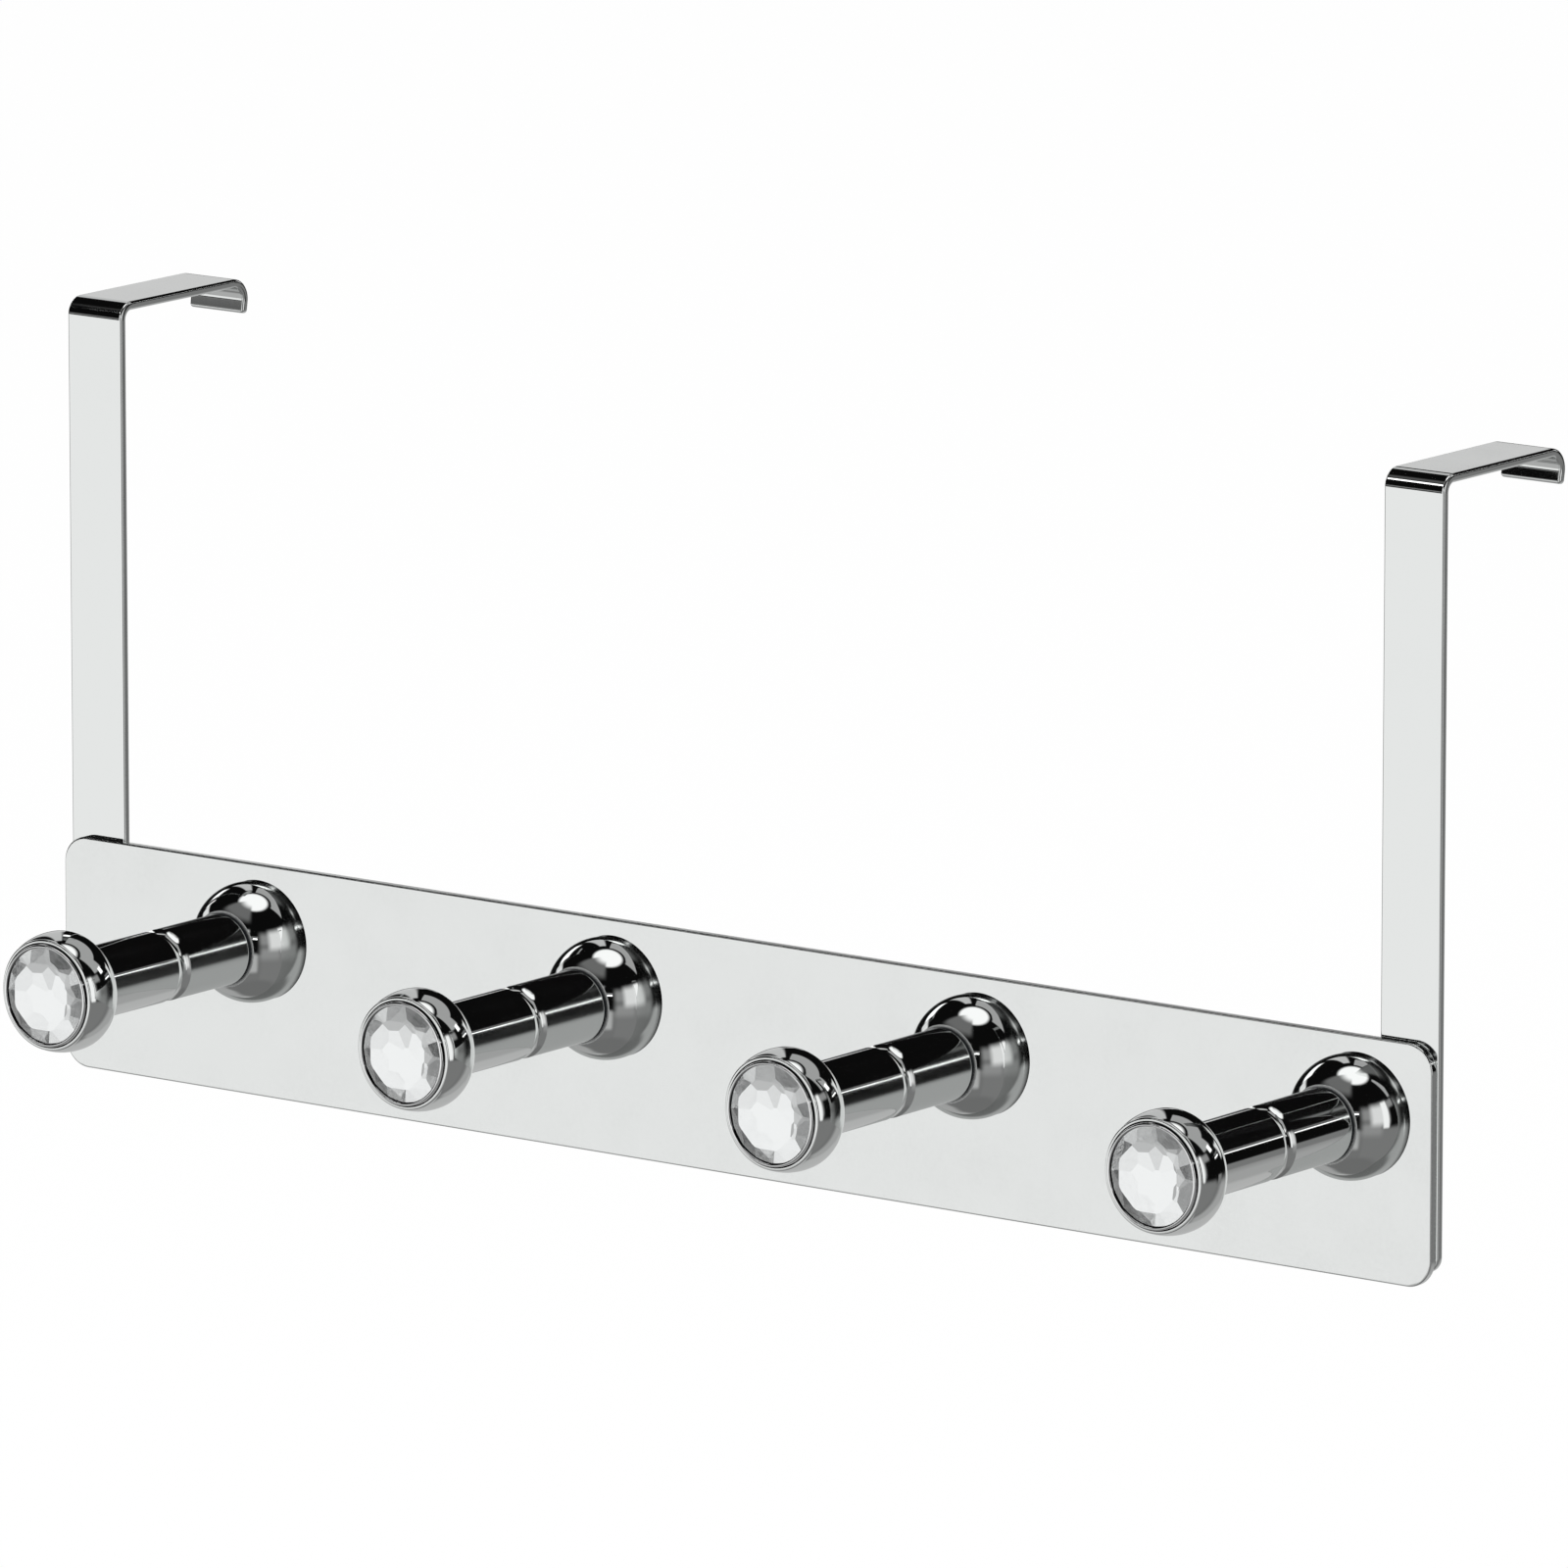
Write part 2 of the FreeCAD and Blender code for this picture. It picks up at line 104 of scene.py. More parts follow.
def sheet_blank(width, height, thickness, corners, edge, holes=(), dents=()):
    """A flat blank of sheet with a rounded cut edge: x across, y along, z from its front to its back.
    Holes go through, each (x, y, radius). Dents are pressed into the back, each (x, y, rings), where a
    ring is (radius, depth) and the rings go inward."""
    blank = bmesh.new()

    def ring(points, depth):
        return [blank.verts.new((x, y, depth)) for x, y in points]

    def skin(first, second):
        for index in range(len(first)):
            after = (index + 1) % len(first)
            blank.faces.new((first[index], first[after], second[after], second[index]))

    def loop_edges(points):
        return [blank.edges.get((points[index - 1], points[index])) for index in range(len(points))]

    rings = []
    for step in range(EDGE_STEPS + 1):
        turn = math.pi / 2 * step / EDGE_STEPS
        points = rounded_rectangle(width, height, corners, edge * (1 - math.sin(turn)))
        rings.append((points, edge * (1 - math.cos(turn))))
    rings += [(points, thickness - depth) for points, depth in reversed(rings)]
    rim = [ring(points, depth) for points, depth in rings]
    for first, second in zip(rim, rim[1:]):
        skin(first, second)
    front, back = loop_edges(rim[0]), loop_edges(rim[-1])
    for x, y, radius in holes:
        near, far = ring(circle(x, y, radius), 0), ring(circle(x, y, radius), thickness)
        skin(near, far)
        front += loop_edges(near)
        back += loop_edges(far)
    for x, y, dent_rings in dents:
        sunk = [ring(circle(x, y, radius), thickness - depth) for radius, depth in dent_rings]
        for first, second in zip(sunk, sunk[1:]):
            skin(first, second)
        blank.faces.new(sunk[-1])
        back += loop_edges(sunk[0])
    bmesh.ops.triangle_fill(blank, edges=front, use_beauty=True)
    bmesh.ops.triangle_fill(blank, edges=back, use_beauty=True)
    return blank


def settle(piece):
    """Works out the piece's modifiers, keeps the mesh that they give and takes the modifiers off."""
    bpy.context.view_layer.update()
    graph = bpy.context.evaluated_depsgraph_get()
    done = piece.evaluated_get(graph)
    mesh = bpy.data.meshes.new_from_object(done, preserve_all_data_layers=True, depsgraph=graph)
    piece.modifiers.clear()
    piece.data = mesh
    # The node that makes a grid gives it an empty first material slot.
    if mesh.materials and mesh.materials[0] is None:
        mesh.materials.pop(index=0)


def sheet_piece(name, blank, place, material):
    """A finished sheet piece: each point of its flat blank goes where place puts it."""
    for vertex in blank.verts:
        vertex.co = place(vertex.co)
    # The faces still hold the flat blank's normals, and which way is out is found from them.
    blank.normal_update()
    bmesh.ops.recalc_face_normals(blank, faces=blank.faces)
    mesh = bpy.data.meshes.new(name)
    blank.to_mesh(mesh)
    blank.free()
    mesh.shade_smooth()
    mesh.set_sharp_from_angle(angle=SHARP_ANGLE)
    mesh.materials.append(material)
    piece = bpy.data.objects.new(name, mesh)
    bpy.context.scene.collection.objects.link(piece)
    # Wide flat faces keep their own normals, so that only the narrow rounded edge shades round.
    piece.modifiers.new("flat_faces", "WEIGHTED_NORMAL").keep_sharp = True
    settle(piece)
    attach(piece, "root")
    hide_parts(name)
    return piece


def linear(colour):
    """A hex sRGB colour as linear red, green, blue and alpha."""
    shares = [int(colour[start:start + 2], 16) / 255 for start in (1, 3, 5)]
    return (*(x / 12.92 if x <= 0.04045 else ((x + 0.055) / 1.055) ** 2.4 for x in shares), 1.0)


def add_node(tree, kind, inputs=None, **settings):
    """A node of a kind. An input's value is set, or linked where it is another node's socket."""
    node = tree.nodes.new(kind)
    for name, value in settings.items():
        setattr(node, name, value)
    for name, value in (inputs or {}).items():
        if isinstance(value, bpy.types.NodeSocket):
            tree.links.new(value, node.inputs[name])
        else:
            node.inputs[name].default_value = value
    return node


# Every plated finish here has patches about 14 mm wide where the polish is a little duller. Where a shade
# reach is given, painted shade darkens its colour towards near black as its surroundings close in.
PATCH_SIZE = 14 * MM
MARKS_SPAN = (0.7, 1.3)
# The painted shade's colour, and the span of ambient occlusion over which it fades out.
CREVICE_SHADE_COLOUR = "#1A1C1D"
CREVICE_SHADE_SPAN = (0.5, 0.9)


def plated_finish(name, colour, roughness, spread, grain, stretch, relief, shade_reach=0.0):
    """A metal plated on worked metal. The grain is the size of the marks that polishing or turning left,
    stretched along the way it went. Roughness varies by spread, and relief is the marks' height. Where
    another surface stands closer than the shade reach, painted shade darkens its colour."""
    material = bpy.data.materials.new(name)
    material.use_nodes = True
    tree = material.node_tree
    tree.nodes.clear()
    where = add_node(tree, "ShaderNodeTexCoord")
    turned = add_node(tree, "ShaderNodeMapping", {"Vector": where.outputs["Object"], "Scale": stretch})
    marks = add_node(tree, "ShaderNodeTexNoise", {
        "Vector": turned.outputs["Vector"], "Scale": 1 / grain, "Detail": 3.0, "Roughness": 0.55,
    })
    patches = add_node(tree, "ShaderNodeTexNoise", {
        "Vector": where.outputs["Object"], "Scale": 1 / PATCH_SIZE, "Detail": 2.0,
    })
    both = add_node(tree, "ShaderNodeMath", {
        0: marks.outputs["Fac"], 1: patches.outputs["Fac"],
    }, operation="ADD")
    dull = add_node(tree, "ShaderNodeMapRange", {
        "Value": both.outputs["Value"], "From Min": MARKS_SPAN[0], "From Max": MARKS_SPAN[1],
        "To Min": roughness - spread, "To Max": roughness + spread,
    })
    bump = add_node(tree, "ShaderNodeBump", {
        "Height": marks.outputs["Fac"], "Strength": 1.0, "Distance": relief,
    })
    plating = linear(colour)
    # Painted shade: ambient occlusion within the shade reach darkens the colour in crevices and where parts
    # meet.
    if shade_reach:
        near = add_node(tree, "ShaderNodeAmbientOcclusion", {"Distance": shade_reach}, samples=8)
        unshaded_share = add_node(tree, "ShaderNodeMapRange", {
            "Value": near.outputs["AO"], "From Min": CREVICE_SHADE_SPAN[0], "From Max": CREVICE_SHADE_SPAN[1],
        }, interpolation_type="SMOOTHSTEP")
        plating = add_node(tree, "ShaderNodeMix", {
            "Factor": unshaded_share.outputs["Result"], "A": linear(CREVICE_SHADE_COLOUR), "B": plating,
        }, data_type="RGBA").outputs["Result"]
    metal = add_node(tree, "ShaderNodeBsdfPrincipled", {
        "Base Color": plating, "Metallic": 1.0,
        "Roughness": dull.outputs["Result"], "Normal": bump.outputs["Normal"],
    })
    add_node(tree, "ShaderNodeOutputMaterial", {"Surface": metal.outputs["BSDF"]})
    return material


# Satin chrome: the sheet is mopped before plating, so it gives back an even, slightly soft light. The
# mop's marks are about 0.1 mm wide, and are drawn at 0.9 mm, as coarse as they have to be to show.
satin_chrome = plated_finish(
    "satin_chrome_on_mopped_sheet", "#E3E5E4", roughness=0.13, spread=0.03,
    grain=0.9 * MM, stretch=(1.0, 1.0, 1.0), relief=0.0003 * MM,
)
plate_blank = sheet_blank(
    plate_high.x - plate_low.x,
    plate_high.z - plate_low.z,
    plate_high.y - plate_low.y,
    [PLATE_CORNER] * 4,
    PLATE_EDGE,
    holes=[(at.x - plate_low.x, at.z - plate_low.z, SCREW_CLEARANCE) for at in peg_places],
)
sheet_piece("plate", plate_blank, lambda at: plate_low + Vector((at.x, at.z, at.y)), satin_chrome)


# Two straps of flat steel strip hook the plate over the door. Each is cut with a rounded foot, bent
# twice in a press, polished bright and chromed, and its leg is spot-welded to the plate's back.
STRAP_EDGE = 0.6 * MM
FOOT_CORNER = 3.5 * MM
LIP_CORNER = 0.8 * MM
STRIP_THICKNESS = 1.9 * MM
FRONT_BEND = 2.0 * MM
REAR_BEND = 3.0 * MM
WELD_RADIUS = 2.4 * MM
WELD_DEPTH = 0.3 * MM
WELD_PITCH = 14.0 * MM
WELD_FIRST = 9.0 * MM
WELD_COUNT = 3
# How a weld's dent falls from its rim: shares of its radius and of its depth.
WELD_FALL = ((1.0, 0.0), (0.97, 0.45), (0.9, 0.85), (0.8, 1.0))
BEND_STEPS = 32
# Bends are cut into the blank in metres, and a point this near a cut is taken to lie on it.
CUT_REACH = 1e-7
LIP_DROP = 6.2 * MM
LIP_LEANS = {"left_strap": math.radians(9), "right_strap": math.radians(11)}

# Polished strip: chrome as bright as a mirror, with faint lines along the way the strip was drawn.
bright_chrome = plated_finish(
    "bright_chrome_on_polished_strip", "#E4E6E5", roughness=0.07, spread=0.025,
    grain=0.5 * MM, stretch=(1.0, 1.0, 0.08), relief=0.0002 * MM,
)


def bent_strap(name):
    """A strap as a flat blank with its welds' dents, bent round the door's top to fill its CAD box."""
    low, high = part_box(name)
    neutral = STRIP_THICKNESS / 2
    front_start = high.z - STRIP_THICKNESS - FRONT_BEND - low.z
    front_arc = math.pi / 2 * (FRONT_BEND + neutral)
    bridge = high.y - low.y - 2 * STRIP_THICKNESS - FRONT_BEND - REAR_BEND
    lean = LIP_LEANS[name]
    rear_sweep = math.pi / 2 + lean
    rear_arc = rear_sweep * (REAR_BEND + neutral)
    lip = (LIP_DROP - REAR_BEND - (REAR_BEND + STRIP_THICKNESS) * math.sin(lean)) / math.cos(lean)
    rear_start = front_start + front_arc + bridge
    length = rear_start + rear_arc + lip
    weld = [(WELD_RADIUS * across, WELD_DEPTH * down) for across, down in WELD_FALL]
    welds = [
        ((high.x - low.x) / 2, WELD_FIRST + WELD_PITCH * index, weld) for index in range(WELD_COUNT)
    ]
    blank = sheet_blank(
        high.x - low.x, length, STRIP_THICKNESS,
        [FOOT_CORNER, FOOT_CORNER, LIP_CORNER, LIP_CORNER], STRAP_EDGE, dents=welds,
    )
    for start, arc in ((front_start, front_arc), (rear_start, rear_arc)):
        for step in range(BEND_STEPS + 1):
            everything = blank.verts[:] + blank.edges[:] + blank.faces[:]
            cut = Vector((0, start + arc * step / BEND_STEPS, 0))
            bmesh.ops.bisect_plane(
                blank, geom=everything, plane_co=cut, plane_no=(0, 1, 0), dist=CUT_REACH
            )

    front_centre = (low.y + STRIP_THICKNESS + FRONT_BEND, high.z - STRIP_THICKNESS - FRONT_BEND)
    rear_centre = (high.y - STRIP_THICKNESS - REAR_BEND, high.z - STRIP_THICKNESS - REAR_BEND)

    def bend(at):
        """Where a point of the flat strip lies once it is bent over the door."""
        across, along, depth = low.x + at.x, at.y, at.z
        if along <= front_start:
            return Vector((across, low.y + depth, low.z + along))
        if along < front_start + front_arc:
            turn = (along - front_start) / front_arc * math.pi / 2
            reach = FRONT_BEND + STRIP_THICKNESS - depth
            return Vector((
                across, front_centre[0] - reach * math.cos(turn), front_centre[1] + reach * math.sin(turn),
            ))
        if along <= rear_start:
            return Vector((across, front_centre[0] + along - front_start - front_arc, high.z - depth))
        turn = min((along - rear_start) / rear_arc, 1.0) * rear_sweep
        past = max(along - rear_start - rear_arc, 0.0)
        reach = REAR_BEND + STRIP_THICKNESS - depth
        return Vector((
            across,
            rear_centre[0] + reach * math.sin(turn) + past * math.cos(turn),
            rear_centre[1] + reach * math.cos(turn) - past * math.sin(turn),
        ))

    sheet_piece(name, blank, bend, bright_chrome)


for strap in ("left_strap", "right_strap"):
    bent_strap(strap)


# A rosette stands between each peg and the plate: a bell pressed from thin brass sheet, polished and
# chromed. The peg's screw pulls it tight against the plate.
ROSETTE_RADIUS = 13.2 * MM
ROSETTE_RIM = 1.6 * MM
ROSETTE_FRONT = 12.2 * MM
ROSETTE_NOSE = 8.4 * MM
ROSETTE_NOSE_INSET = 0.6 * MM
ROSETTE_CURVE = 11.6 * MM
ROSETTE_WALL = 1.0 * MM
LATHE_STEPS = 144
SEAM_GAP = 0.002 * MM


def arc(start, end, radius, steps=10):
    """Points of the short arc between two points, without the first. It bulges to the left of the way
    from start to end where radius is positive, and to the right where it is negative."""
    start, end = Vector(start), Vector(end)
    chord = end - start
    rise = math.sqrt(radius * radius - chord.length_squared / 4)
    left = Vector((-chord.y, chord.x)).normalized()
    centre = (start + end) / 2 - left * math.copysign(rise, radius)
    first, last = start - centre, end - centre
    sweep = first.angle_signed(last)
    points = []
    for step in range(1, steps + 1):
        turn = -sweep * step / steps
        points.append(centre + Vector((
            first.x * math.cos(turn) - first.y * math.sin(turn),
            first.x * math.sin(turn) + first.y * math.cos(turn),
        )))
    return points


def lathe_tree():
    """Geometry Nodes that turn a half section about the Y axis: a grid whose one side follows the
    section's points and whose other side goes round, closed where its ends come within SEAM_GAP."""
    tree = bpy.data.node_groups.new("turned_piece", "GeometryNodeTree")
    tree.interface.new_socket("Section", in_out="INPUT", socket_type="NodeSocketGeometry")
    tree.interface.new_socket("Steps Round", in_out="INPUT", socket_type="NodeSocketInt")
    tree.interface.new_socket("Place", in_out="INPUT", socket_type="NodeSocketVector")
    tree.interface.new_socket("Sharp Angle", in_out="INPUT", socket_type="NodeSocketFloat")
    tree.interface.new_socket("Finish", in_out="INPUT", socket_type="NodeSocketMaterial")
    tree.interface.new_socket("Piece", in_out="OUTPUT", socket_type="NodeSocketGeometry")
    given = add_node(tree, "NodeGroupInput").outputs
    count = add_node(tree, "GeometryNodeAttributeDomainSize", {"Geometry": given["Section"]})
    round_points = add_node(tree, "ShaderNodeMath", {0: given["Steps Round"], 1: 1.0}).outputs[0]
    grid = add_node(tree, "GeometryNodeMeshGrid", {
        "Vertices X": count.outputs["Point Count"], "Vertices Y": round_points,
    })
    index = add_node(tree, "GeometryNodeInputIndex").outputs["Index"]
    row = add_node(tree, "ShaderNodeMath", {0: index, 1: round_points}, operation="DIVIDE")
    row = add_node(tree, "ShaderNodeMath", {0: row.outputs[0]}, operation="FLOOR")
    column = add_node(tree, "ShaderNodeMath", {0: index, 1: round_points}, operation="MODULO")
    share = add_node(tree, "ShaderNodeMath", {
        0: column.outputs[0], 1: given["Steps Round"],
    }, operation="DIVIDE")
    turn = add_node(tree, "ShaderNodeMath", {0: share.outputs[0], 1: -2 * math.pi}, operation="MULTIPLY")
    spot = add_node(tree, "GeometryNodeInputPosition").outputs["Position"]
    point = add_node(tree, "GeometryNodeSampleIndex", data_type="FLOAT_VECTOR", domain="POINT", clamp=True)
    tree.links.new(given["Section"], point.inputs["Geometry"])
    tree.links.new(spot, point.inputs["Value"])
    tree.links.new(row.outputs[0], point.inputs["Index"])
    half = add_node(tree, "ShaderNodeSeparateXYZ", {"Vector": point.outputs["Value"]})
    cosine = add_node(tree, "ShaderNodeMath", {0: turn.outputs[0]}, operation="COSINE")
    sine = add_node(tree, "ShaderNodeMath", {0: turn.outputs[0]}, operation="SINE")
    side = add_node(tree, "ShaderNodeMath", {
        0: half.outputs["X"], 1: cosine.outputs[0],
    }, operation="MULTIPLY")
    rise = add_node(tree, "ShaderNodeMath", {
        0: half.outputs["X"], 1: sine.outputs[0],
    }, operation="MULTIPLY")
    local = add_node(tree, "ShaderNodeCombineXYZ", {
        "X": side.outputs[0], "Y": half.outputs["Y"], "Z": rise.outputs[0],
    })
    placed = add_node(tree, "ShaderNodeVectorMath", {
        0: local.outputs[0], 1: given["Place"],
    }, operation="ADD")
    shaped = add_node(tree, "GeometryNodeSetPosition", {
        "Geometry": grid.outputs["Mesh"], "Position": placed.outputs[0],
    })
    joined = add_node(tree, "GeometryNodeMergeByDistance", {
        "Geometry": shaped.outputs[0], "Distance": SEAM_GAP,
    })
    smooth = add_node(tree, "GeometryNodeSetShadeSmooth", {"Geometry": joined.outputs[0]})
    bend = add_node(tree, "GeometryNodeInputMeshEdgeAngle").outputs["Unsigned Angle"]
    sharp = add_node(tree, "FunctionNodeCompare", {
        0: bend, 1: given["Sharp Angle"],
    }, operation="GREATER_THAN")
    edged = add_node(tree, "GeometryNodeSetShadeSmooth", {
        "Geometry": smooth.outputs[0], "Selection": sharp.outputs["Result"], "Shade Smooth": False,
    }, domain="EDGE")
    real = add_node(tree, "GeometryNodeRealizeInstances", {"Geometry": edged.outputs[0]})
    done = add_node(tree, "GeometryNodeSetMaterial", {
        "Geometry": real.outputs[0], "Material": given["Finish"],
    })
    add_node(tree, "NodeGroupOutput", {"Piece": done.outputs[0]})
    return tree


lathe = lathe_tree()


def feed(piece, tree, **values):
    """Gives the piece a modifier that runs the tree, with its named inputs set by their identifiers."""
    modifier = piece.modifiers.new(tree.name, "NODES")
    modifier.node_group = tree
    for socket in tree.interface.items_tree:
        wanted = values.get(socket.name.lower().replace(" ", "_"))
        if wanted is not None:
            modifier[socket.identifier] = wanted


def turned_piece(name, section, place, material):
    """A piece turned from its half section of (radius, distance ahead of the plate's front face)."""
    points = [(radius, -ahead, 0.0) for radius, ahead in section]
    edges = [(index, index + 1) for index in range(len(points) - 1)]
    mesh = bpy.data.meshes.new(name)
    mesh.from_pydata(points, edges, [])
    piece = bpy.data.objects.new(name, mesh)
    bpy.context.scene.collection.objects.link(piece)
    feed(
        piece, lathe, steps_round=LATHE_STEPS, place=place, sharp_angle=SHARP_ANGLE, finish=material
    )
    piece.modifiers.new("flat_faces", "WEIGHTED_NORMAL").keep_sharp = True
    settle(piece)
    return piece


# Turned chrome: bright as a mirror, with the lathe's faint rings under the plate. A real ring is about
# 0.05 mm wide, and it is drawn at 0.4 mm.
# Painted shade darkens its colour within 3 mm of other surfaces: at the neck, on the rosettes by the plate
# and round the cup.
turned_chrome = plated_finish(
    "bright_chrome_on_turned_bar", "#E4E6E5", roughness=0.045, spread=0.02,
    grain=0.4 * MM, stretch=(0.05, 1.0, 0.05), relief=0.0002 * MM, shade_reach=3.0 * MM,
)
rosette_inner = ROSETTE_RADIUS - ROSETTE_WALL
nose_inner = (ROSETTE_NOSE - ROSETTE_NOSE_INSET, ROSETTE_FRONT - ROSETTE_WALL)
rosette_section = [
    (rosette_inner, 0.0),
    (ROSETTE_RADIUS, 0.0),
    (ROSETTE_RADIUS, ROSETTE_RIM),
    *arc((ROSETTE_RADIUS, ROSETTE_RIM), (ROSETTE_NOSE, ROSETTE_FRONT), -ROSETTE_CURVE, steps=28),
    (SCREW_CLEARANCE, ROSETTE_FRONT),
    (SCREW_CLEARANCE, ROSETTE_FRONT - ROSETTE_WALL),
    nose_inner,
    *arc(nose_inner, (rosette_inner, ROSETTE_RIM), ROSETTE_CURVE - ROSETTE_WALL, steps=16),
    (rosette_inner, 0.0),
]
# Mirrored rays pass the rosettes by, and the pegs, cups, stones and screws too, so that the plate and the
# straps keep an even pale grey.
for number, place in zip(PEG_NUMBERS, peg_places):
    rosette = turned_piece(f"rosette_{number}", rosette_section, place, turned_chrome)
    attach(rosette, "root")
    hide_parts(f"rosette_{number}")
    rosette.visible_glossy = False


# Each peg is one turned steel bar, polished and chromed: a neck behind, a stem with a shallow groove
# round its middle, and a wide cap that keeps a coat loop on. Its cap is bored for the bezel cup.
NECK_RADIUS = 7.0 * MM
NECK_LENGTH = 0.9 * MM
STEM_RADIUS = 7.85 * MM
SMALL_ROUND = 0.35 * MM
GROOVE_START = 33.0 * MM
GROOVE_WIDTH = 4.0 * MM
GROOVE_DEPTH = 0.8 * MM
CAP_RADIUS = 13.05 * MM
CAP_WIDEST = 66.4 * MM
CAP_FRONT = 72.5 * MM
CAP_FRONT_RADIUS = 11.75 * MM
CAP_CROWN_CURVE = 13.0 * MM
CUP_RADIUS = 11.1 * MM
CUP_RIM = 73.3 * MM
CUP_DEPTH = 5.5 * MM
BORE_RADIUS = 2.0 * MM
BORE_DEPTH = 11.0 * MM

neck_end = ROSETTE_FRONT + NECK_LENGTH
groove_end = GROOVE_START + GROOVE_WIDTH
groove_curve = (GROOVE_WIDTH ** 2 / 4 + GROOVE_DEPTH ** 2) / (2 * GROOVE_DEPTH)
cap_foot = CAP_WIDEST - (CAP_RADIUS - STEM_RADIUS)
cap_shoulder = (CAP_FRONT_RADIUS + SMALL_ROUND, CAP_FRONT - SMALL_ROUND)
cup_seat = CUP_RIM - CUP_DEPTH
peg_section = [
    (0.0, ROSETTE_FRONT + BORE_DEPTH),
    (BORE_RADIUS, ROSETTE_FRONT + BORE_DEPTH),
    (BORE_RADIUS, ROSETTE_FRONT),
    (NECK_RADIUS, ROSETTE_FRONT),
    (NECK_RADIUS, neck_end),
    (STEM_RADIUS - SMALL_ROUND, neck_end),
    *arc((STEM_RADIUS - SMALL_ROUND, neck_end), (STEM_RADIUS, neck_end + SMALL_ROUND), -SMALL_ROUND, steps=6),
    (STEM_RADIUS, GROOVE_START),
    *arc((STEM_RADIUS, GROOVE_START), (STEM_RADIUS, groove_end), groove_curve, steps=14),
    (STEM_RADIUS, cap_foot),
    *arc((STEM_RADIUS, cap_foot), (CAP_RADIUS, CAP_WIDEST), -(CAP_RADIUS - STEM_RADIUS), steps=20),
    *arc((CAP_RADIUS, CAP_WIDEST), cap_shoulder, -CAP_CROWN_CURVE, steps=20),
    *arc(cap_shoulder, (CAP_FRONT_RADIUS, CAP_FRONT), -SMALL_ROUND, steps=6),
    (CUP_RADIUS + SMALL_ROUND, CAP_FRONT),
    (CUP_RADIUS, CAP_FRONT - SMALL_ROUND),
    (CUP_RADIUS, cup_seat),
    (0.0, cup_seat),
]
for number, place in zip(PEG_NUMBERS, peg_places):
    peg = turned_piece(f"peg_{number}", peg_section, place, turned_chrome)
    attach(peg, "root")
    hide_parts(f"peg_{number}")
    peg.visible_glossy = False


# A thin pressed cup is let into each cap. Its rolled rim stands proud as a bright ring round the stone,
# with a dark joint outside it that painted shade in the chrome of cup and cap makes darker still.
CUP_WALL = 0.75 * MM
CUP_FLOOR = 0.7 * MM

cup_inner = CUP_RADIUS - CUP_WALL
rim_round = CUP_WALL / 2
rim_foot = CUP_RIM - rim_round
cup_section = [
    (0.0, cup_seat),
    (CUP_RADIUS, cup_seat),
    (CUP_RADIUS, rim_foot),
    *arc((CUP_RADIUS, rim_foot), (CUP_RADIUS - rim_round, CUP_RIM), -rim_round, steps=8),
    *arc((CUP_RADIUS - rim_round, CUP_RIM), (cup_inner, rim_foot), -rim_round, steps=8),
    (cup_inner, cup_seat + CUP_FLOOR),
    (0.0, cup_seat + CUP_FLOOR),
]
# Pressed chrome: as bright as the pegs and a touch lighter, with the die's faint marks, drawn at 0.6 mm.
# Painted shade darkens its colour within 2 mm of other surfaces, on its wall by the stone and at its joint
# with the cap.
bezel_chrome = plated_finish(
    "bright_chrome_on_pressed_cup", "#E9EAEA", roughness=0.06, spread=0.02,
    grain=0.6 * MM, stretch=(1.0, 1.0, 1.0), relief=0.0002 * MM, shade_reach=2.0 * MM,
)
for number, place in zip(PEG_NUMBERS, peg_places):
    cup = turned_piece(f"bezel_cup_{number}", cup_section, place, bezel_chrome)
    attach(cup, "root")
    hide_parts(f"bezel_cup_{number}")
    cup.visible_glossy = False


# The crystals are clear pressed glass, ground flat by flat and silvered behind, and glued into their
# cups: a wide table, eight crown flats, sixteen small ones at the rim, and behind two rings of eight.
GIRDLE_FOOT = 71.7 * MM
GIRDLE_HEIGHT = 0.7 * MM
TABLE_LEVEL = 74.3 * MM
TABLE_RADIUS = 7.8 * MM
CROWN_RISE = 0.25 * MM
RIM_INSET = 1.45 * MM
RIM_RISE = 0.95 * MM
CULET_RADIUS = 3.2 * MM
POINT_RADIUS = 1.0 * MM
POINT_RISE = 0.47 * MM
MAIN_FLATS = 8
RIM_FLATS = 16
GIRDLE_STEPS = 96
GRIND_REACH = 1e-8
# A face whose normal points back by more than this is one of the silvered flats.
SILVERED_FROM = -0.1


def grind(stone, inner, outer, count, half_step):
    """Grinds a ring of flats. Each passes through two points of the half section, (radius, level), and
    half_step turns the ring by that many half steps."""
    way = (Vector(outer) - Vector(inner)).normalized()
    out = Vector((-way.y, way.x))
    if out.x < 0:
        out = -out
    for index in range(count):
        turn = 2 * math.pi * (index + half_step / 2) / count
        aside = Vector((math.cos(turn), math.sin(turn), 0.0))
        everything = stone.verts[:] + stone.edges[:] + stone.faces[:]
        bmesh.ops.bisect_plane(
            stone, geom=everything, dist=GRIND_REACH, clear_outer=True,
            plane_co=aside * inner[0] + Vector((0, 0, inner[1])),
            plane_no=aside * out.x + Vector((0, 0, out.y)),
        )
        bmesh.ops.holes_fill(stone, edges=[edge for edge in stone.edges if edge.is_boundary], sides=0)


